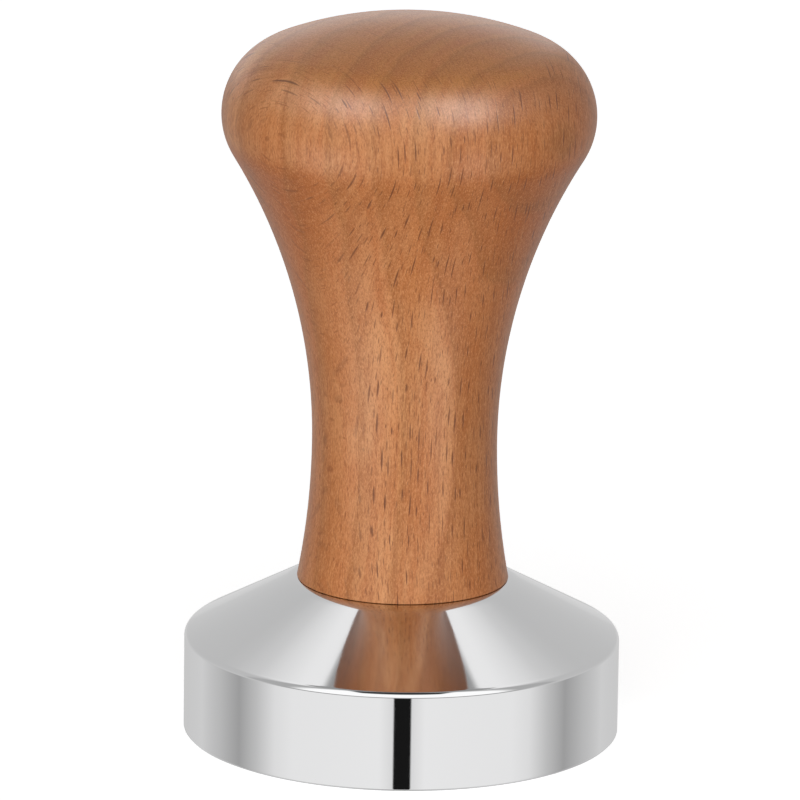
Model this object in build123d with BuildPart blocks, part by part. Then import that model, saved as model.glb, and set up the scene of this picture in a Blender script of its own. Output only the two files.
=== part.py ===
from build123d import *
from math import acos, asin, degrees, radians, sin, tan
import os

# Espresso tamper: a turned beech handle screwed down onto a solid stainless steel base.
#
# Frame: millimetres, +Z up along the axis of the handle. The origin is the centre of the flat
# working face under the base, the face that presses the coffee.
#
# The pieces, from the bottom up:
#   base           solid steel piston with a blind tapped hole in its top
#   stud           M8 set screw, locked in the base
#   thrust_washer  nylon ring between handle and base, captive on the insert's spigot, free to turn
#   handle_insert  flanged brass bush with an M8 thread inside, barbed, pressed into the wood
#   handle         turned beech knob with a waisted neck
#
# Turning the handle anticlockwise, seen from above, lifts it along the stud by 1.25 mm a turn, the
# pitch of M8. Threads are drawn as plain cylinders: the screw at its crests, a tapped wall just
# outside them.

# ---- driving dimensions ----------------------------------------------------------------------

# base
base_radius = 25.5  # fits a 51 mm basket
base_height = 18.6  # working face to the seat of the handle
shoulder_height = 11.6  # where the wall and the cone would meet if the edge were sharp
shoulder_round = 0.85
seat_radius = 12.55  # where the flat top and the cone would meet if the edge were sharp
seat_round = 5.5  # the cone rolls over into the flat top just under the edge of the handle
rim_break = 0.25  # chamfer round the working face

# handle outline, a chain of tangent arcs
handle_top = 85.2
foot_radius = 12.35
foot_round = 0.2
foot_gap = 0.05  # the washer holds the wood this far off the steel
waist_radius = 10.8
waist_height = 35.1
knob_radius = 21.7  # widest
knob_edge_radius = 8.85  # arc round the widest part
crown_radius = 43.9  # shallow arc over the top

# thread, M8 x 1.25 coarse, right-handed
thread_radius = 4.0
thread_clearance = 0.04  # radial, between the screw's crests and a tapped wall
tap_drill_point = radians(59)  # half of the drill's 118 degrees

# stud
stud_length = 25.0
stud_chamfer = 0.8
socket_across_flats = 4.0
socket_depth = 4.0
stud_bottom = 6.2  # height of its lower end inside the base

# thrust washer
washer_thickness = 1.0
washer_radius = 7.8
washer_bore_radius = 5.15

# brass insert
neck_radius = 5.0  # the washer turns on this
lip_radius = 5.35  # keeps the washer on
lip_height = 0.7
spigot_length = 1.0  # how far the insert reaches down into the base
neck_play = 0.05  # how much the neck is longer than the washer is thick
flange_radius = 7.6
flange_thickness = 1.4
shank_radius = 6.0  # over the barbs
barb_depth = 0.5
barb_count = 5
insert_length = 16.0  # from the lip to the top of the shank

# clearances round the insert
spigot_bore_radius = 5.5  # counterbore in the base that centres the handle
spigot_bore_depth = 1.3
recess_clearance = 0.2  # radial, between the recess in the wood and the washer or flange
relief_radius = 4.6  # drilled in the wood above the insert, for the end of the stud
relief_top = 36.0

# ---- heights and arcs that follow from them ---------------------------------------------------

foot_height = base_height + foot_gap
washer_top = base_height + washer_thickness
flange_bottom = washer_top + neck_play
flange_top = flange_bottom + flange_thickness
insert_bottom = base_height - spigot_length
insert_top = insert_bottom + insert_length
stud_top = stud_bottom + stud_length
tapped_radius = thread_radius + thread_clearance
barb_pitch = (insert_top - flange_top) / barb_count

# crown arc: centred on the axis, and tangent inside to the knob's edge arc
knob_centre_radius = knob_radius - knob_edge_radius
crown_join = acos(knob_centre_radius / (crown_radius - knob_edge_radius))
knob_centre_height = handle_top - crown_radius + (crown_radius - knob_edge_radius) * sin(crown_join)

# flare arc: vertical at the waist, and tangent outside to the knob's edge arc
waist_to_knob = knob_centre_height - waist_height
flare_radius = (knob_edge_radius**2 - (waist_radius - knob_centre_radius) ** 2 - waist_to_knob**2) / (
    2 * (waist_radius - knob_radius)
)
flare_join = asin(waist_to_knob / (flare_radius + knob_edge_radius))

# foot arc: vertical at the waist, and passes through the edge of the foot
foot_to_waist = waist_height - foot_height
foot_flare = foot_radius - waist_radius
foot_arc_radius = (foot_flare**2 + foot_to_waist**2) / (2 * foot_flare)
foot_join = asin(foot_to_waist / foot_arc_radius)

# ---- base -------------------------------------------------------------------------------------

with BuildPart() as base:
    with BuildSketch(Plane.XZ) as base_section:
        with BuildLine():
            Polyline(
                (0, 0),
                (base_radius, 0),
                (base_radius, shoulder_height),
                (seat_radius, base_height),
                (0, base_height),
                close=True,
            )
        make_face()
        rim = base_section.vertices().group_by(Axis.X)[-1]
        fillet(rim.sort_by(Axis.Y)[-1], radius=shoulder_round)
        chamfer(base_section.vertices().group_by(Axis.X)[-1].sort_by(Axis.Y)[0], length=rim_break)
        seat_edge = base_section.vertices().group_by(Axis.Y)[-1].sort_by(Axis.X)[-1]
        fillet(seat_edge, radius=seat_round)
    revolve(axis=Axis.Z)

    # counterbore that centres the handle, then the tapped hole with its drill point
    hole_floor = stud_bottom
    with BuildSketch(Plane.XZ):
        with BuildLine():
            Polyline(
                (0, hole_floor - tapped_radius / tan(tap_drill_point)),
                (tapped_radius, hole_floor),
                (tapped_radius, base_height - spigot_bore_depth),
                (spigot_bore_radius, base_height - spigot_bore_depth),
                (spigot_bore_radius, base_height),
                (0, base_height),
                close=True,
            )
        make_face()
    revolve(axis=Axis.Z, mode=Mode.SUBTRACT)
base.part.label = "base"

# ---- stud -------------------------------------------------------------------------------------

with BuildPart() as stud:
    with BuildSketch(Plane.XY.offset(stud_bottom)):
        Circle(thread_radius)
    extrude(amount=stud_length)
    chamfer(stud.edges().filter_by(GeomType.CIRCLE), length=stud_chamfer)
    with BuildSketch(Plane.XY.offset(stud_top)):
        RegularPolygon(socket_across_flats / 2, 6, major_radius=False)
    extrude(amount=-socket_depth, mode=Mode.SUBTRACT)
stud.part.label = "stud"

# ---- thrust washer ----------------------------------------------------------------------------

with BuildPart() as thrust_washer:
    with BuildSketch(Plane.XY.offset(base_height)):
        Circle(washer_radius)
        Circle(washer_bore_radius, mode=Mode.SUBTRACT)
    extrude(amount=washer_thickness)
thrust_washer.part.label = "thrust_washer"

# ---- brass insert -----------------------------------------------------------------------------

# each barb steps out at its lower end and tapers in towards the top, so it goes in but not out
barbs = []
for barb in range(barb_count):
    barb_bottom = flange_top + barb * barb_pitch
    barbs.append((shank_radius, barb_bottom))
    barbs.append((shank_radius - barb_depth, barb_bottom + barb_pitch))

with BuildPart() as handle_insert:
    with BuildSketch(Plane.XZ):
        with BuildLine():
            Polyline(
                (tapped_radius, insert_bottom),
                (lip_radius, insert_bottom),
                (lip_radius, insert_bottom + lip_height),
                (neck_radius, insert_bottom + lip_height),
                (neck_radius, flange_bottom),
                (flange_radius, flange_bottom),
                (flange_radius, flange_top),
                *barbs,
                (tapped_radius, insert_top),
                close=True,
            )
        make_face()
    revolve(axis=Axis.Z)
handle_insert.part.label = "handle_insert"

# ---- handle -----------------------------------------------------------------------------------

with BuildPart() as handle:
    with BuildSketch(Plane.XZ) as handle_section:
        with BuildLine():
            Line((0, foot_height), (foot_radius, foot_height))
            CenterArc(
                (waist_radius + foot_arc_radius, waist_height),
                foot_arc_radius,
                start_angle=180,
                arc_size=degrees(foot_join),
            )
            CenterArc(
                (waist_radius + flare_radius, waist_height),
                flare_radius,
                start_angle=180,
                arc_size=-degrees(flare_join),
            )
            CenterArc(
                (knob_centre_radius, knob_centre_height),
                knob_edge_radius,
                start_angle=-degrees(flare_join),
                arc_size=degrees(flare_join + crown_join),
            )
            CenterArc(
                (0, handle_top - crown_radius),
                crown_radius,
                start_angle=degrees(crown_join),
                arc_size=90 - degrees(crown_join),
            )
            Line((0, handle_top), (0, foot_height))
        make_face()
        foot_edge = handle_section.vertices().group_by(Axis.Y)[0].sort_by(Axis.X)[-1]
        fillet(foot_edge, radius=foot_round)
    revolve(axis=Axis.Z)

    # recess for the washer, recess for the flange, bore for the shank, relief for the stud
    with BuildSketch(Plane.XZ):
        with BuildLine():
            Polyline(
                (0, foot_height),
                (washer_radius + recess_clearance, foot_height),
                (washer_radius + recess_clearance, flange_top),
                (shank_radius, flange_top),
                (shank_radius, insert_top),
                (relief_radius, insert_top),
                (relief_radius, relief_top),
                (0, relief_top + relief_radius / tan(tap_drill_point)),
                close=True,
            )
        make_face()
    revolve(axis=Axis.Z, mode=Mode.SUBTRACT)
handle.part.label = "handle"

# ---- export -----------------------------------------------------------------------------------

os.makedirs("parts", exist_ok=True)
export_step(base.part, "parts/base.step")
export_step(stud.part, "parts/stud.step")
export_step(thrust_washer.part, "parts/thrust_washer.step")
export_step(handle_insert.part, "parts/handle_insert.step")
export_step(handle.part, "parts/handle.step")
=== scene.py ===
import math

import bmesh
import bpy
from mathutils import Matrix, Vector


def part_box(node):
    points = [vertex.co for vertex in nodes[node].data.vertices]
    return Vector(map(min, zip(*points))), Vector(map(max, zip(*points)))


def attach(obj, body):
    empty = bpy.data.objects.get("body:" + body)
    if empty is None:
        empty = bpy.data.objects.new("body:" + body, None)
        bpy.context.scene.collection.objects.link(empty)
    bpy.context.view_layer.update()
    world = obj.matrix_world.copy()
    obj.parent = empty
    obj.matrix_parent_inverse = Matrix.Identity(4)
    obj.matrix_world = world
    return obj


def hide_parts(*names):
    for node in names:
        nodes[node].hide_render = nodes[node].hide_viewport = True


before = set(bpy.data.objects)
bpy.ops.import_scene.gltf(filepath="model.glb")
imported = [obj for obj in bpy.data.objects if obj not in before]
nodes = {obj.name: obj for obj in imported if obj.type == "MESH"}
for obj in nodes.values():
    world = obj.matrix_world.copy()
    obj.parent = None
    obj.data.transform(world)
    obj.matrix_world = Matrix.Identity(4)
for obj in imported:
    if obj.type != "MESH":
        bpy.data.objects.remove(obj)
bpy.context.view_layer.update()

MM = 0.001


# ---- shader node helper ------------------------------------------------------------------------

class Shader:
    """A node tree written as an expression: every call adds a node and returns its output."""

    def __init__(self, tree):
        self.tree = tree
        tree.nodes.clear()

    def node(self, kind, inputs=None, **settings):
        made = self.tree.nodes.new(kind)
        for name, value in settings.items():
            setattr(made, name, value)
        for name, value in (inputs or {}).items():
            self.feed(made.inputs[name], value)
        return made

    def feed(self, socket, value):
        if isinstance(value, bpy.types.NodeSocket):
            self.tree.links.new(value, socket)
        else:
            socket.default_value = value

    def math(self, operation, a, b=0.0, c=0.0):
        return self.node("ShaderNodeMath", {0: a, 1: b, 2: c}, operation=operation).outputs[0]

    def vector(self, operation, a, b=(0, 0, 0)):
        made = self.node("ShaderNodeVectorMath", {0: a, 1: b}, operation=operation)
        scalar = operation in ("LENGTH", "DOT_PRODUCT", "DISTANCE")
        return made.outputs["Value" if scalar else "Vector"]

    def combine(self, x, y, z):
        return self.node("ShaderNodeCombineXYZ", {0: x, 1: y, 2: z}).outputs[0]

    def separate(self, vector):
        return self.node("ShaderNodeSeparateXYZ", {0: vector}).outputs

    def noise(self, vector, scale=1.0, detail=2.0, roughness=0.5, output="Fac"):
        return self.node(
            "ShaderNodeTexNoise",
            {"Vector": vector, "Scale": scale, "Detail": detail, "Roughness": roughness},
        ).outputs[output]

    def random(self, vector):
        """Three random numbers from 0 to 1 for each whole-number cell."""
        colour = self.node("ShaderNodeTexWhiteNoise", {"Vector": vector}).outputs["Color"]
        return self.node("ShaderNodeSeparateColor", {0: colour}).outputs

    def smooth(self, value, low, high, to_low=0.0, to_high=1.0):
        """Smooth step of value from low..high to to_low..to_high."""
        return self.node(
            "ShaderNodeMapRange",
            {"Value": value, "From Min": low, "From Max": high, "To Min": to_low, "To Max": to_high},
            interpolation_type="SMOOTHSTEP",
        ).outputs["Result"]

    def ramp(self, value, stops):
        """A grey ramp from (position, brightness) pairs."""
        made = self.node("ShaderNodeValToRGB", {0: value})
        elements = made.color_ramp.elements
        while len(elements) < len(stops):
            elements.new(0.5)
        for element, (position, grey) in zip(elements, stops):
            element.position = position
            element.color = (grey, grey, grey, 1)
        return made.outputs["Color"]

    def mix(self, factor, a, b, blend="MIX"):
        made = self.node("ShaderNodeMix", data_type="RGBA", blend_type=blend)
        self.feed(made.inputs["Factor"], factor)
        self.feed(made.inputs[6], a)
        self.feed(made.inputs[7], b)
        return made.outputs[2]

    def position_mm(self):
        """Where the surface is in its piece's own frame, in mm."""
        scaled = self.vector("SCALE", self.node("ShaderNodeTexCoord").outputs["Object"])
        scaled.node.inputs["Scale"].default_value = 1 / MM
        return scaled

    def normal(self):
        """The three parts of the surface's normal."""
        return self.separate(self.node("ShaderNodeTexCoord").outputs["Normal"])

    def bump(self, height, strength, distance):
        """A normal roughened by height. distance is in metres."""
        return self.node(
            "ShaderNodeBump", {"Height": height, "Strength": strength, "Distance": distance}
        ).outputs["Normal"]


def new_material(name):
    material = bpy.data.materials.new(name)
    material.use_nodes = True
    return material, Shader(material.node_tree)


def finish_material(shader, principled):
    output = shader.node("ShaderNodeOutputMaterial")
    shader.tree.links.new(principled.outputs[0], output.inputs["Surface"])


def dress(obj, material):
    """Give every face of obj this one material."""
    obj.data.materials.clear()
    obj.data.materials.append(material)


# ---- beech -------------------------------------------------------------------------------------

# The blank was sawn well away from the pith, which lay out to the front right of the handle. The
# rays wander from the rings' own centre a little, as they do in a curved trunk.
RING_CENTRE = (math.radians(52), 60.0)  # azimuth from -Y towards +X, mm from the handle's axis
RAY_CENTRE = (math.radians(23), 56.0)


def turned(s, x, y, azimuth):
    """The parts of (x, y) towards an azimuth and across it."""
    sin_a, cos_a = math.sin(azimuth), math.cos(azimuth)
    towards = s.math("SUBTRACT", s.math("MULTIPLY", x, sin_a), s.math("MULTIPLY", y, cos_a))
    return towards, s.math("ADD", s.math("MULTIPLY", x, cos_a), s.math("MULTIPLY", y, sin_a))


def around(s, px, py, centre):
    """Distance in towards a centre, and distance round it measured at the handle's axis, in mm."""
    azimuth, distance = centre
    towards, side = turned(s, px, py, azimuth)
    ahead = s.math("SUBTRACT", distance, towards)
    inward = s.math("SUBTRACT", distance, s.vector("LENGTH", s.combine(ahead, side, 0.0)))
    return inward, s.math("MULTIPLY", s.math("ARCTAN2", side, ahead), distance)


def cut_across(s, across):
    """1 where the surface cuts the rays upright and shows them as dark dashes, near 0 on end grain and
    where it lies along them."""
    nx, ny, nz = s.normal()
    towards, side = turned(s, nx, ny, RAY_CENTRE[0])
    bearing = s.math("DIVIDE", across, RAY_CENTRE[1])
    facing = s.math("ADD", s.math("MULTIPLY", side, s.math("COSINE", bearing)),
                    s.math("MULTIPLY", towards, s.math("SINE", bearing)))
    flat = s.smooth(s.math("ABSOLUTE", facing), 0.72, 0.97, 1.0, 0.25)
    return s.math("MULTIPLY", flat, s.smooth(nz, 0.72, 0.95, 1.0, 0.15))


def underside_shade_and_end_grain(s, px):
    """How much painted shade darkens and reddens the underside of the knob, most on its flanks; and how
    much the oil has yellowed the end grain on top."""
    _, _, nz = s.normal()
    flank = s.smooth(s.math("ABSOLUTE", px), 8.0, 13.0, 0.4, 0.95)
    return s.math("MULTIPLY", s.smooth(nz, -0.18, -0.45), flank), s.smooth(nz, 0.6, 0.88, 0.0, 0.55)


# The ray flecks: the cell that holds at most one, across, up and inward, and the fleck's thickness and
# tallest half height, in mm; the share of cells that have one; and a seed.
LARGE_RAYS = {"cell": (1.35, 4.3, 5.0), "thickness": 0.15, "half_height": 2.05, "share": 0.95, "seed": 3.0}
SMALL_RAYS = {"cell": (0.7, 2.3, 3.2), "thickness": 0.1, "half_height": 1.05, "share": 0.85, "seed": 17.0}
TINY_RAYS = {"cell": (0.36, 1.5, 2.4), "thickness": 0.06, "half_height": 0.6, "share": 0.8, "seed": 31.0}


def rays(s, across, up, inward, cell, thickness, half_height, share, seed):
    """Dark spindles in upright sheets, as 0 to 1."""
    wide, tall, deep = cell
    column = s.math("FLOOR", s.math("DIVIDE", across, wide))
    start = s.random(s.combine(column, seed, seed))[0]
    reach_in = s.math("ADD", s.math("DIVIDE", inward, deep), start)
    layer = s.math("FLOOR", reach_in)
    shift = s.random(s.combine(column, layer, seed))[0]
    climb = s.math("ADD", s.math("DIVIDE", up, tall), shift)
    row = s.math("FLOOR", climb)
    aside, height, chance = s.random(s.combine(column, row, s.math("ADD", layer, seed + 0.5)))[0:3]

    side = s.math("SUBTRACT", s.math("FRACT", s.math("DIVIDE", across, wide)), 0.5)
    side = s.math("SUBTRACT", side, s.math("MULTIPLY", s.math("SUBTRACT", aside, 0.5), 0.7))
    side = s.math("ABSOLUTE", s.math("MULTIPLY", side, wide))
    rise = s.math("MULTIPLY", s.math("SUBTRACT", s.math("FRACT", climb), 0.5), tall)
    reach = s.math("MULTIPLY_ADD", height, half_height * 0.75, half_height * 0.25)
    rise = s.math("POWER", s.math("ABSOLUTE", s.math("DIVIDE", rise, reach)), 2.0)
    run = s.math("MULTIPLY", s.math("SUBTRACT", s.math("FRACT", reach_in), 0.5), 2.1)
    rise = s.math("ADD", rise, s.math("POWER", s.math("ABSOLUTE", run), 4.0))
    body = s.math("ADD", s.math("DIVIDE", side, thickness), rise)
    there = s.smooth(chance, share - 0.25, share, 1.0, 0.0)
    return s.math("MULTIPLY", s.smooth(body, 0.3, 1.0, 1.0, 0.0), there)


def growth_rings(s, inward, wobble):
    """0 in the pale wood of each year, rising to 1 where the year ends."""
    wide, narrowing = 5.4, 0.11  # mm a year at the axis, and how fast that shrinks towards the pith
    width = s.math("MAXIMUM", s.math("SUBTRACT", wide, s.math("MULTIPLY", inward, narrowing)), 2.0)
    count = s.math("DIVIDE", s.math("LOGARITHM", width, math.e), -narrowing)
    count = s.math("ADD", count, s.math("MULTIPLY", wobble, 0.5))
    year = [(0.0, 0.85), (0.07, 0.72), (0.2, 0.42), (0.45, 0.18), (0.75, 0.04), (0.9, 0.0), (1.0, 0.5)]
    return s.ramp(s.math("FRACT", count), year)


# colours of the wood, linear
LIGHT = (0.69, 0.315, 0.128, 1)
WARM = (0.58, 0.225, 0.073, 1)
RUSSET = (0.49, 0.148, 0.038, 1)
# painted shade: the darker, redder colour put on the underside of the knob
UNDERSIDE_SHADE = (0.45, 0.12, 0.02, 1)
OCHRE = (0.56, 0.225, 0.042, 1)
LATE = (0.32, 0.115, 0.026, 1)  # the olive wood at the end of each year
DARK = (0.29, 0.084, 0.022, 1)
DEEP = (0.13, 0.037, 0.012, 1)


def stretched_noise(s, x, y, z, scale, detail=3.0, roughness=0.6):
    """Noise that runs at its own scale, per mm, along each of three directions."""
    return s.noise(s.vector("MULTIPLY", s.combine(x, y, z), scale), detail=detail, roughness=roughness)


def wandering_grain(s, mm):
    """x and y in the wood, shifted a little as the grain climbs."""
    drift = s.noise(s.vector("MULTIPLY", mm, (0.045, 0.045, 0.018)), detail=2.0, output="Color")
    drift = s.vector("MULTIPLY", s.vector("SUBTRACT", drift, (0.5, 0.5, 0.5)), (4.5, 4.5, 0.0))
    px, py, _ = s.separate(s.vector("ADD", mm, drift))
    return px, py


def drifting_tone_and_shade(s, mm, px, py, layers, cut):
    """The wood's broad colour, with the painted shade under the knob, before its fine marks."""
    cloud = s.noise(s.vector("MULTIPLY", mm, (0.17, 0.17, 0.05)), detail=3.0, roughness=0.6)
    patch = s.noise(s.vector("MULTIPLY", mm, (0.4, 0.4, 0.22)), detail=3.0, roughness=0.6)
    painted_underside_shade, yellowed = underside_shade_and_end_grain(s, px)
    heart, _ = turned(s, px, py, math.radians(80))  # the blank reddens towards its heart side
    colour = s.mix(s.smooth(cloud, 0.36, 0.64), LIGHT, WARM)
    colour = s.mix(s.smooth(heart, 3.0, 12.0, 0.0, 0.5), colour, RUSSET)
    colour = s.mix(s.smooth(cut, 0.4, 0.15, 0.0, 0.5), colour, RUSSET)
    # painted shade: the underside of the knob darker and redder, most on its flanks, where less light falls
    colour = s.mix(painted_underside_shade, colour, UNDERSIDE_SHADE)
    colour = s.mix(yellowed, colour, OCHRE)
    colour = s.mix(s.smooth(layers, 0.42, 0.68, 0.0, 0.55), colour, RUSSET)
    return s.mix(s.smooth(patch, 0.42, 0.75, 0.0, 0.5), colour, RUSSET)


def beech():
    """Steamed beech under satin varnish: growth rings, ray flecks, pores and soft colour drift, all
    solid in the wood, so that every cut through it shows the right figure; and painted shade under the
    knob."""
    material, s = new_material("beech")
    mm = s.position_mm()
    _, _, z = s.separate(mm)
    px, py = wandering_grain(s, mm)
    ring_in, ring_across = around(s, px, py, RING_CENTRE)
    ray_in, ray_across = around(s, px, py, RAY_CENTRE)
    cut = cut_across(s, ray_across)

    wobble = s.noise(s.vector("MULTIPLY", mm, (0.14, 0.14, 0.05)), detail=4.0, roughness=0.6)
    year = growth_rings(s, ring_in, wobble)
    large = s.math("MULTIPLY", rays(s, ray_across, z, ray_in, **LARGE_RAYS), cut)
    small = s.math("MULTIPLY", rays(s, ray_across, z, ray_in, **SMALL_RAYS), cut)
    tiny = rays(s, ray_across, z, ray_in, **TINY_RAYS)

    # fine layers: sheets of slightly different tone along the rays and along the rings
    layers = stretched_noise(s, ring_in, z, ring_across, (0.8, 0.03, 0.05))
    sheets = stretched_noise(s, ray_across, z, ray_in, (1.9, 0.07, 0.07))
    middle = 0.45
    contrast = s.smooth(cut, 0.0, 1.0, 0.35, 1.0)
    sheets = s.math("MULTIPLY_ADD", s.math("SUBTRACT", sheets, middle), contrast, middle)
    # fibres and pores: short fine streaks and specks up the grain
    fibres = stretched_noise(s, px, py, z, (5.0, 5.0, 0.75), roughness=0.7)
    grit = stretched_noise(s, px, py, z, (7.5, 7.5, 2.4), detail=2.0, roughness=0.7)

    colour = drifting_tone_and_shade(s, mm, px, py, layers, cut)
    colour = s.mix(s.math("MULTIPLY", year, 0.55), colour, LATE)
    colour = s.mix(s.smooth(sheets, middle, 0.7, 0.0, 0.3), colour, DARK)
    colour = s.mix(s.smooth(sheets, middle, 0.3, 0.0, 0.25), colour, LIGHT)
    colour = s.mix(s.smooth(fibres, 0.48, 0.72, 0.0, 0.55), colour, DARK)
    colour = s.mix(s.smooth(fibres, 0.47, 0.28, 0.0, 0.5), colour, LIGHT)
    colour = s.mix(s.smooth(grit, 0.5, 0.68, 0.0, 0.42), colour, DARK)
    colour = s.mix(s.smooth(grit, 0.47, 0.33, 0.0, 0.5), colour, LIGHT)
    colour = s.mix(s.math("MULTIPLY", tiny, 0.55), colour, DARK)
    colour = s.mix(s.math("MULTIPLY", small, 0.6), colour, DEEP)
    colour = s.mix(s.math("MULTIPLY", large, 0.8), colour, DEEP)

    height = s.math("ADD", s.math("MULTIPLY", large, -0.6), s.math("MULTIPLY", fibres, 0.3))
    principled = s.node(
        "ShaderNodeBsdfPrincipled",
        {
            "Base Color": colour,
            "Roughness": s.smooth(fibres, 0.3, 0.7, 0.36, 0.44),
            "Normal": s.bump(height, 0.3, 0.00006),
            "IOR": 1.48,
            "Specular IOR Level": 0.2,
        },
    )
    finish_material(s, principled)
    return material


# ---- metals and plastic ------------------------------------------------------------------------

def polished_steel():
    """Turned stainless steel, buffed to a mirror on the wall and a shade softer on the cone."""
    material, s = new_material("polished_steel")
    mm = s.position_mm()
    x, y, z = s.separate(mm)
    radius = s.vector("LENGTH", s.combine(x, y, 0.0))

    # what is left of the tool's path: faint rings round the axis
    lines = s.noise(s.combine(s.math("MULTIPLY", radius, 6.0), s.math("MULTIPLY", z, 6.0), 0.0),
                    detail=4.0, roughness=0.7)
    smear = s.noise(s.vector("MULTIPLY", mm, (0.25, 0.25, 0.5)), detail=3.0)
    on_wall = s.smooth(radius, 25.2, 25.45)
    rough = s.math("ADD", s.smooth(smear, 0.3, 0.7, 0.05, 0.07),
                   s.math("MULTIPLY", on_wall, -0.035))
    bump = s.bump(lines, 0.03, 0.00002)
    principled = s.node(
        "ShaderNodeBsdfPrincipled",
        {
            "Base Color": (0.70, 0.70, 0.705, 1),
            "Metallic": 1.0,
            "Roughness": rough,
            "Normal": bump,
        },
    )
    finish_material(s, principled)
    return material


def simple_metal(name, colour, tarnish, roughness, grain):
    """A plain turned metal with uneven polish. grain is how fine its marks are, per mm."""
    material, s = new_material(name)
    mm = s.position_mm()
    marks = s.noise(s.vector("MULTIPLY", mm, (grain * 0.2, grain * 0.2, grain)), detail=4.0, roughness=0.6)
    stain = s.noise(mm, scale=0.35, detail=3.0)
    bump = s.bump(marks, 0.1, 0.00003)
    principled = s.node(
        "ShaderNodeBsdfPrincipled",
        {
            "Base Color": s.mix(s.smooth(stain, 0.4, 0.7), colour, tarnish),
            "Metallic": 1.0,
            "Roughness": s.smooth(marks, 0.3, 0.7, roughness * 0.8, roughness * 1.25),
            "Normal": bump,
        },
    )
    finish_material(s, principled)
    return material


def nylon():
    """Natural nylon: milky, a little see-through at the edges, with a moulded grain."""
    material, s = new_material("natural_nylon")
    mm = s.position_mm()
    grain = s.noise(mm, scale=5.0, detail=3.0)
    cloud = s.noise(mm, scale=0.4, detail=2.0)
    bump = s.bump(grain, 0.15, 0.00004)
    principled = s.node(
        "ShaderNodeBsdfPrincipled",
        {
            "Base Color": s.mix(cloud, (0.82, 0.79, 0.70, 1), (0.74, 0.71, 0.62, 1)),
            "Roughness": s.smooth(grain, 0.3, 0.7, 0.42, 0.55),
            "Subsurface Weight": 0.15,
            "Subsurface Scale": 0.001,
            "Normal": bump,
        },
    )
    finish_material(s, principled)
    return material


# ---- shapes ------------------------------------------------------------------------------------

# Sizes in mm that the part has and its boxes don't give.
SHOULDER_HEIGHT = 11.6
SHOULDER_ROUND = 0.85
SEAT_CORNER = 12.55
SEAT_ROUND = 5.5
RIM_BREAK = 0.25
SPIGOT_BORE = (5.5, 1.3)  # radius, depth
TAPPED_RADIUS = 4.04
FOOT_RADIUS = 12.35
WAIST = (10.8, 35.1)  # radius, height
KNOB_EDGE_RADIUS = 8.85
CROWN_RADIUS = 43.9
RECESS = (8.0, 21.15)  # radius, top, for washer and flange
SHANK_BORE = (6.0, 33.6)
RELIEF = (4.6, 36.0)
WASHER_BORE = 5.15
STUD_CHAMFER = 0.8
DRILL_SLOPE = math.tan(math.radians(31))  # rise of a drill point per mm of radius
PITCH = 1.25
THREAD_CREST = 4.0
SOCKET_FLATS = 4.0
SOCKET_DEPTH = 4.0

# Details in mm that the part leaves out.
FOOT_ROUND = 0.06  # the part has 0.2 and a flat foot, and this foot is scribed to the seat
THREAD_ROOT = 3.23  # the part's stud is a plain cylinder at the crests
SOCKET_MOUTH = 2.4  # radius of the countersink of the hexagon socket


def box_mm(node):
    low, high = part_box(node)
    return Vector(low) / MM, Vector(high) / MM


def arc(centre, radius, start, end, steps):
    """Points on an arc. Angles are in radians from +r towards +z."""
    turns = [start + (end - start) * i / steps for i in range(steps + 1)]
    return [(centre[0] + radius * math.cos(a), centre[1] + radius * math.sin(a)) for a in turns]


def rounded(before, corner, after, radius, steps):
    """Points on the arc that rounds a corner of a profile."""
    corner = Vector(corner)
    back = (Vector(before) - corner).normalized()
    on = (Vector(after) - corner).normalized()
    half = back.angle(on) / 2
    centre = corner + (back + on).normalized() * radius / math.sin(half)
    first = corner + back * radius / math.tan(half) - centre
    last = corner + on * radius / math.tan(half) - centre
    start = math.atan2(first.y, first.x)
    sweep = math.atan2(last.y, last.x) - start
    sweep = (sweep + math.pi) % (2 * math.pi) - math.pi
    return arc(centre, radius, start, start + sweep, steps)


def straight(start, end, hold=0.1):
    """Two points just inside the ends of a straight run, which keep its shading flat."""
    start, end = Vector(start), Vector(end)
    step = (end - start).normalized() * hold
    return [tuple(start + step), tuple(end - step)]


def finish_mesh(name, mesh_data, sharp=25):
    mesh = bpy.data.meshes.new(name)
    bmesh.ops.recalc_face_normals(mesh_data, faces=mesh_data.faces)
    mesh_data.to_mesh(mesh)
    mesh_data.free()
    mesh.shade_smooth()
    mesh.set_sharp_from_angle(angle=math.radians(sharp))
    piece = bpy.data.objects.new(name, mesh)
    bpy.context.scene.collection.objects.link(piece)
    return piece


def lathe(name, profile, segments=224):
    """A turned solid from a profile of (r, z) in mm that starts and ends on the axis."""
    shape = bmesh.new()
    rings = []
    for r, z in profile:
        count = 1 if r < 1e-6 else segments
        turns = [2 * math.pi * i / segments for i in range(count)]
        rings.append([shape.verts.new((r * MM * math.cos(a), r * MM * math.sin(a), z * MM)) for a in turns])
    for low, high in zip(rings, rings[1:]):
        for i in range(segments):
            j = (i + 1) % segments
            corners = [low[i % len(low)], low[j % len(low)], high[j % len(high)], high[i % len(high)]]
            shape.faces.new(list(dict.fromkeys(corners)))
    return finish_mesh(name, shape)


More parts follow.
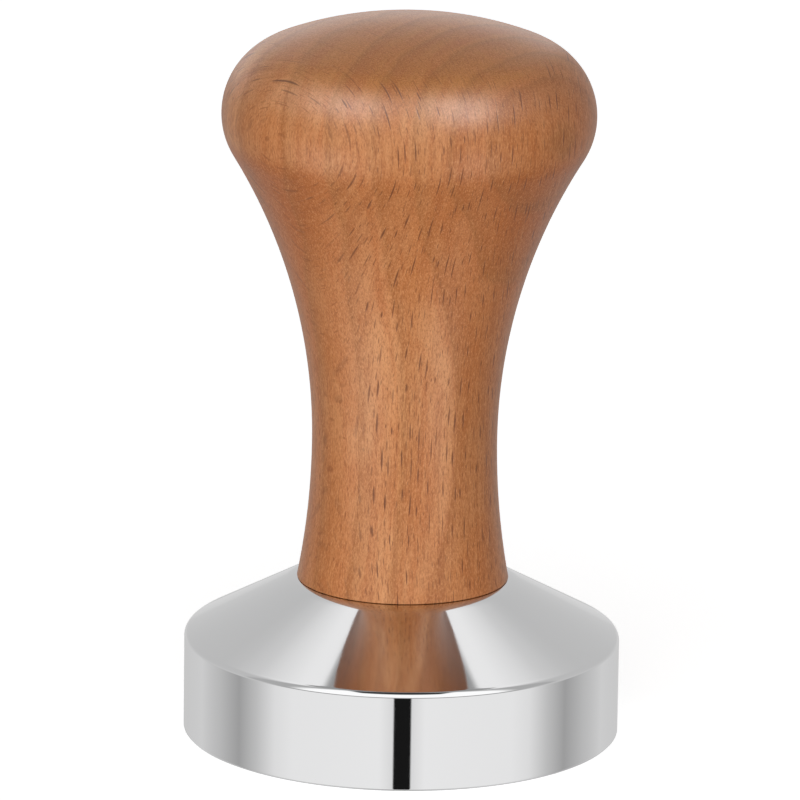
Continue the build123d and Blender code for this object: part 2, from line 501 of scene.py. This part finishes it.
def make_base():
    """The steel piston: chamfered working face, straight wall, rounded shoulder, cone, and the hole
    for the stud."""
    _, high = box_mm("base")
    radius, height = high.x, high.z
    stud_bottom = box_mm("stud")[0].z
    corner = (radius, SHOULDER_HEIGHT)
    top = (SEAT_CORNER, height)
    bore, bore_depth = SPIGOT_BORE
    profile = [(0, 0), (radius - RIM_BREAK - 0.05, 0), (radius - RIM_BREAK, 0.01)]
    profile += [(radius - 0.01, RIM_BREAK), (radius, RIM_BREAK + 0.05)]
    shoulder = rounded((radius, 0), corner, top, SHOULDER_ROUND, 16)
    seat = rounded(corner, top, (0, height), SEAT_ROUND, 18)
    profile += straight(profile[-1], shoulder[0]) + shoulder + straight(shoulder[-1], seat[0]) + seat
    profile += [(bore + 0.2, height), (bore, height - 0.2), (bore, height - bore_depth)]
    profile += [(TAPPED_RADIUS + 0.3, height - bore_depth), (TAPPED_RADIUS, height - bore_depth - 0.3)]
    profile += [(TAPPED_RADIUS, stud_bottom), (0, stud_bottom - TAPPED_RADIUS * DRILL_SLOPE)]
    return lathe("base_turned", profile)


def make_handle():
    """The beech knob: a chain of tangent arcs from foot to crown, hollow below for the insert."""
    low, high = box_mm("handle")
    knob, top, foot = high.x, high.z, low.z
    waist, waist_z = WAIST
    centre_r = knob - KNOB_EDGE_RADIUS
    crown_join = math.acos(centre_r / (CROWN_RADIUS - KNOB_EDGE_RADIUS))
    centre_z = top - CROWN_RADIUS + (CROWN_RADIUS - KNOB_EDGE_RADIUS) * math.sin(crown_join)
    rise = centre_z - waist_z
    flare = (KNOB_EDGE_RADIUS**2 - (waist - centre_r) ** 2 - rise**2) / (2 * (waist - knob))
    flare_join = math.asin(rise / (flare + KNOB_EDGE_RADIUS))
    drop = waist_z - foot
    foot_arc = ((FOOT_RADIUS - waist) ** 2 + drop**2) / (2 * (FOOT_RADIUS - waist))
    foot_join = math.asin(drop / foot_arc)

    lower = arc((waist + foot_arc, waist_z), foot_arc, math.pi + foot_join, math.pi, 24)
    recess, recess_top = RECESS
    shank, shank_top = SHANK_BORE
    relief, relief_top = RELIEF
    profile = [(0, relief_top + relief * DRILL_SLOPE), (relief, relief_top), (relief, shank_top)]
    profile += [(shank, shank_top), (shank, recess_top), (recess, recess_top)]
    profile += [(recess, foot + 0.2), (recess + 0.2, foot)]
    # the rim of the foot is scribed to the rounding of the seat below it
    base_box = box_mm("base")[1]
    slope = math.atan2(base_box.z - SHOULDER_HEIGHT, base_box.x - SEAT_CORNER)
    seat_start = SEAT_CORNER - SEAT_ROUND * math.tan(slope / 2)
    reach = math.asin((FOOT_RADIUS - FOOT_ROUND - seat_start) / SEAT_ROUND)
    profile += arc((seat_start, foot - SEAT_ROUND), SEAT_ROUND, math.pi / 2, math.pi / 2 - reach, 6)
    rim_z = profile[-1][1] + FOOT_ROUND
    profile += [(FOOT_RADIUS - 0.3 * FOOT_ROUND, rim_z - 0.7 * FOOT_ROUND), (FOOT_RADIUS + 0.01, rim_z)]
    profile += lower[1:]
    profile += arc((waist + flare, waist_z), flare, math.pi, math.pi - flare_join, 48)[1:]
    profile += arc((centre_r, centre_z), KNOB_EDGE_RADIUS, -flare_join, crown_join, 40)[1:]
    profile += arc((0, top - CROWN_RADIUS), CROWN_RADIUS, crown_join, math.pi / 2, 24)[1:-1]
    profile += [(0, top)]
    return lathe("handle_turned", profile)


def make_washer():
    """The nylon ring, with its moulded edges eased."""
    low, high = box_mm("thrust_washer")
    outer, bore, ease = high.x, WASHER_BORE, 0.15
    ring = [(bore, low.z + ease), (bore + ease, low.z), (outer - ease, low.z), (outer, low.z + ease)]
    ring += [(outer, high.z - ease), (outer - ease, high.z), (bore + ease, high.z), (bore, high.z - ease)]
    return lathe("thrust_washer_moulded", ring + ring[:1], segments=128)


def make_stud():
    """The M8 set screw with its right-handed thread and a hexagon socket in the top."""
    low, high = box_mm("stud")
    bottom, top, end_radius = low.z, high.z, THREAD_CREST - STUD_CHAMFER
    steps = 48
    flank = (PITCH - PITCH / 8 - PITCH / 4) / 2
    offsets = (0.0, PITCH / 4, PITCH / 4 + flank, PITCH / 4 + flank + PITCH / 8)
    radii = (THREAD_ROOT, THREAD_ROOT, THREAD_CREST, THREAD_CREST)
    rows = 4 * (math.ceil((top - bottom) / PITCH) + 2)
    shape = bmesh.new()

    def thread_point(row, step):
        z = bottom + PITCH * (row // 4 - 1 + step / steps) + offsets[row % 4]
        z = min(max(z, bottom), top)
        r = min(radii[row % 4], end_radius + min(z - bottom, top - z))
        a = 2 * math.pi * step / steps
        return shape.verts.new((r * MM * math.cos(a), r * MM * math.sin(a), z * MM))

    grid = [[thread_point(row, step) for step in range(steps)] for row in range(rows)]
    for row in range(rows - 1):
        for step in range(steps):
            last = step == steps - 1
            lift, beside = (4, 0) if last else (0, step + 1)
            if row + 1 + lift < rows:
                shape.faces.new((grid[row][step], grid[row + lift][beside],
                                 grid[row + 1 + lift][beside], grid[row + 1][step]))

    def ring(radius_at, z):
        turns = [2 * math.pi * step / steps for step in range(steps)]
        return [shape.verts.new((radius_at(a) * MM * math.cos(a), radius_at(a) * MM * math.sin(a), z * MM))
                for a in turns]

    def hexagon(a):
        return SOCKET_FLATS / 2 / math.cos((a + math.pi / 6) % (math.pi / 3) - math.pi / 6)

    top_rings = [ring(lambda a: end_radius, top), ring(lambda a: SOCKET_MOUTH, top),
                 ring(hexagon, top - 0.3), ring(hexagon, top - SOCKET_DEPTH)]
    for one, two in zip(top_rings, top_rings[1:]):
        for i in range(steps):
            j = (i + 1) % steps
            shape.faces.new((one[i], one[j], two[j], two[i]))
    pit = shape.verts.new((0, 0, (top - SOCKET_DEPTH - 1.0) * MM))
    floor = top_rings[-1]
    for i in range(steps):
        shape.faces.new((floor[i], floor[(i + 1) % steps], pit))
    shape.faces.new(ring(lambda a: end_radius, bottom))
    bmesh.ops.remove_doubles(shape, verts=shape.verts, dist=1e-7)
    bmesh.ops.dissolve_degenerate(shape, edges=shape.edges, dist=1e-7)
    return finish_mesh("stud_threaded", shape, sharp=20)


def show_as(piece, node, body, material):
    """Show piece in place of a CAD node."""
    dress(piece, material)
    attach(piece, body)
    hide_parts(node)


steel = simple_metal("zinc_steel", (0.62, 0.62, 0.63, 1), (0.50, 0.50, 0.52, 1), 0.28, 3.0)
brass = simple_metal("brass", (0.80, 0.58, 0.25, 1), (0.66, 0.44, 0.18, 1), 0.24, 2.5)
handle_piece = make_handle()
show_as(handle_piece, "handle", "handle", beech())
show_as(make_base(), "base", "base", polished_steel())
show_as(make_stud(), "stud", "base", steel)
show_as(make_washer(), "thrust_washer", "washer", nylon())
dress(nodes["handle_insert"], brass)


# ---- studio ------------------------------------------------------------------------------------

def studio_floor():
    """A plain pale floor, lit through from below like a light table. Only the camera sees it: the
    object is lit by, and reflects, the studio below."""
    mesh = bpy.data.meshes.new("floor")
    reach = 3.0
    corners = [(-reach, -reach, 0), (reach, -reach, 0), (reach, reach, 0), (-reach, reach, 0)]
    mesh.from_pydata(corners, [], [(0, 1, 2, 3)])
    floor = bpy.data.objects.new("floor", mesh)
    bpy.context.scene.collection.objects.link(floor)
    material, s = new_material("pale_floor")
    speckle = s.noise(s.node("ShaderNodeTexCoord").outputs["Object"], scale=30.0, detail=3.0)
    principled = s.node(
        "ShaderNodeBsdfPrincipled",
        {
            "Base Color": s.mix(speckle, (0.87, 0.87, 0.87, 1), (0.89, 0.89, 0.89, 1)),
            "Roughness": 0.9,
            "Specular IOR Level": 0.1,
            "Emission Color": (1, 1, 1, 1),
            "Emission Strength": 0.62,
        },
    )
    finish_material(s, principled)
    dress(floor, material)
    floor.visible_glossy = False
    floor.visible_diffuse = False


def lobe(s, way, towards, size, strength):
    """Light from a broad soft source: strength towards it, falling away as a power of the cosine."""
    towards = Vector(towards).normalized()
    facing = s.math("MAXIMUM", s.vector("DOT_PRODUCT", way, tuple(towards)), 0.0)
    return s.math("MULTIPLY", s.math("POWER", facing, size), strength)


def diffuse_light(s, way):
    """Soft light from the front and a little from the left, with a weak fill all round."""
    key = lobe(s, way, (-0.14, -0.985, 0.12), 3.2, 2.22)
    back = lobe(s, way, (0.3, 1.0, 0.1), 2.0, 0.42)
    return s.math("ADD", s.math("ADD", key, back), 0.19)


def mirror_light(s, way):
    """What polished steel sees: bright panels in front and behind with a grey wall between them, a
    dark ceiling hole, a thin shadow at the horizon, and below it panels with a narrow gap."""
    x, y, z = s.separate(way)
    gap_azimuth = math.radians(1.0)
    ahead, side = turned(s, x, y, gap_azimuth)
    turn = s.math("ARCTAN2", side, ahead)
    turn = s.math("DIVIDE", s.math("ABSOLUTE", turn), math.pi)  # 0 to the front, 1 to the back

    def at(degrees):
        return degrees / 180.0

    low = s.ramp(turn, [(0.0, 0.012), (at(4.5), 0.012), (at(4.8), 0.96), (at(12), 1.12),
                        (at(60), 1.09), (at(71), 1.0), (at(83), 0.71), (at(96), 0.47),
                        (at(112), 0.66), (at(132), 0.82), (at(150), 0.74), (at(172), 0.62)])
    back = s.ramp(z, [(0.0, 0.70), (0.6, 0.68), (0.667, 0.71), (0.753, 0.815), (0.802, 0.95),
                      (0.835, 1.03), (0.87, 1.12), (0.902, 1.14), (0.91, 0.41), (1.0, 0.36)])
    front = s.ramp(z, [(0.0, 1.0), (0.1, 1.4), (0.74, 1.4), (0.80, 0.10), (1.0, 0.03)])
    front = s.mix(s.smooth(s.math("ABSOLUTE", x), 0.26, 0.32), front, (1.4, 1.4, 1.4, 1))
    front = s.mix(s.smooth(turn, at(50), at(64)), front, (0.55, 0.55, 0.55, 1))
    high = s.mix(s.smooth(y, -0.12, 0.02), front, back)
    shadow = s.mix(s.smooth(y, -0.65, -0.2), (0.40, 0.40, 0.40, 1), (0.74, 0.74, 0.74, 1))
    upper = s.mix(s.smooth(z, 0.0, 0.05), shadow, high)
    return s.mix(s.smooth(z, -0.19, -0.13), low, upper)


def studio_world():
    """Soft white studio: one light for mirror reflections and one for everything else. The camera
    itself sees plain white."""
    world = bpy.data.worlds.new("studio")
    bpy.context.scene.world = world
    world.use_nodes = True
    s = Shader(world.node_tree)
    way = s.node("ShaderNodeTexCoord").outputs["Generated"]
    path = s.node("ShaderNodeLightPath").outputs
    light = s.mix(path["Is Glossy Ray"], diffuse_light(s, way), mirror_light(s, way))
    light = s.mix(path["Is Camera Ray"], light, (1, 1, 1, 1))
    background = s.node("ShaderNodeBackground", {"Color": light, "Strength": 1.0})
    output = s.node("ShaderNodeOutputWorld")
    s.tree.links.new(background.outputs[0], output.inputs["Surface"])


def add_camera():
    """A long lens a metre away, a little above the knob's level, tipped by a degree."""
    distance = 0.9856
    elevation = math.radians(17.04)
    roll = math.radians(0.83)
    target = Vector((-0.0006, 0, 0.03973))
    eye = Vector((0, -distance * math.cos(elevation), distance * math.sin(elevation)))
    forward = (target - eye).normalized()
    right = forward.cross(Vector((0, 0, 1))).normalized()
    up = right.cross(forward)
    tipped_right = math.cos(roll) * right + math.sin(roll) * up
    tipped_up = math.cos(roll) * up - math.sin(roll) * right
    axes = Matrix((tipped_right, tipped_up, -forward)).transposed().to_4x4()
    data = bpy.data.cameras.new("camera")
    data.lens = 376.7
    data.sensor_width = 36.0
    data.clip_end = 20.0
    camera = bpy.data.objects.new("camera", data)
    camera.matrix_world = Matrix.Translation(eye) @ axes
    bpy.context.scene.collection.objects.link(camera)
    bpy.context.scene.camera = camera


def softbox(name, where, size, brightness, in_mirrors, receivers):
    """A soft panel that faces the knob and only puts sheen on the varnish. The mirror steel has its
    own studio, and the fill lights everything. brightness is the panel's radiance. Without
    in_mirrors the steel doesn't show the sheen either."""
    data = bpy.data.lights.new(name, "AREA")
    data.shape = "RECTANGLE"
    data.size, data.size_y = size
    data.energy = brightness * math.pi * size[0] * size[1]
    if not in_mirrors:
        data.use_nodes = True
        s = Shader(data.node_tree)
        direct = s.math("LESS_THAN", s.node("ShaderNodeLightPath").outputs["Ray Depth"], 1.5)
        emission = s.node("ShaderNodeEmission", {"Strength": direct})
        s.tree.links.new(emission.outputs[0], s.node("ShaderNodeOutputLight").inputs["Surface"])
    panel = bpy.data.objects.new(name, data)
    panel.location = where
    aim = Vector((0, 0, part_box("handle")[1].z)) - Vector(where)
    panel.rotation_mode = "QUATERNION"
    panel.rotation_quaternion = aim.to_track_quat("-Z", "Y")
    panel.visible_diffuse = False
    panel.light_linking.receiver_collection = receivers
    panel.light_linking.blocker_collection = receivers
    bpy.context.scene.collection.objects.link(panel)


# name, place, size, brightness, and whether mirrors show its sheen
PANELS = [
    ("overhead_left", (-0.55, -0.56, 1.04), (0.66, 0.64), 20.0, False),
    ("overhead_right", (0.53, -0.6, 1.0), (0.56, 0.84), 25.0, False),
    ("side_left", (-0.8, -0.1, 0.9), (0.5, 0.5), 9.0, False),
    ("side_right", (0.85, -0.2, 0.85), (0.5, 0.5), 8.0, False),
    ("table_left", (-0.89, -0.7, -0.52), (1.0, 0.85), 4.8, False),
    ("table_right", (0.76, -0.84, -0.54), (0.55, 0.9), 5.4, False),
    ("back_low", (-0.45, 1.6, 0.38), (1.8, 0.5), 1.4, True),
    ("back_high", (-0.1, 1.5, 0.9), (1.8, 0.3), 0.8, True),
]


def varnish_lights(piece):
    """Panels above the knob and a little apart, panels at its sides, the bounce off the bright table
    in front, and two behind it for the far rim."""
    varnished = bpy.data.collections.new("varnished")
    varnished.objects.link(piece)
    for panel in PANELS:
        softbox(*panel, varnished)


studio_floor()
studio_world()
varnish_lights(handle_piece)
add_camera()
bpy.context.scene.view_settings.view_transform = "Standard"
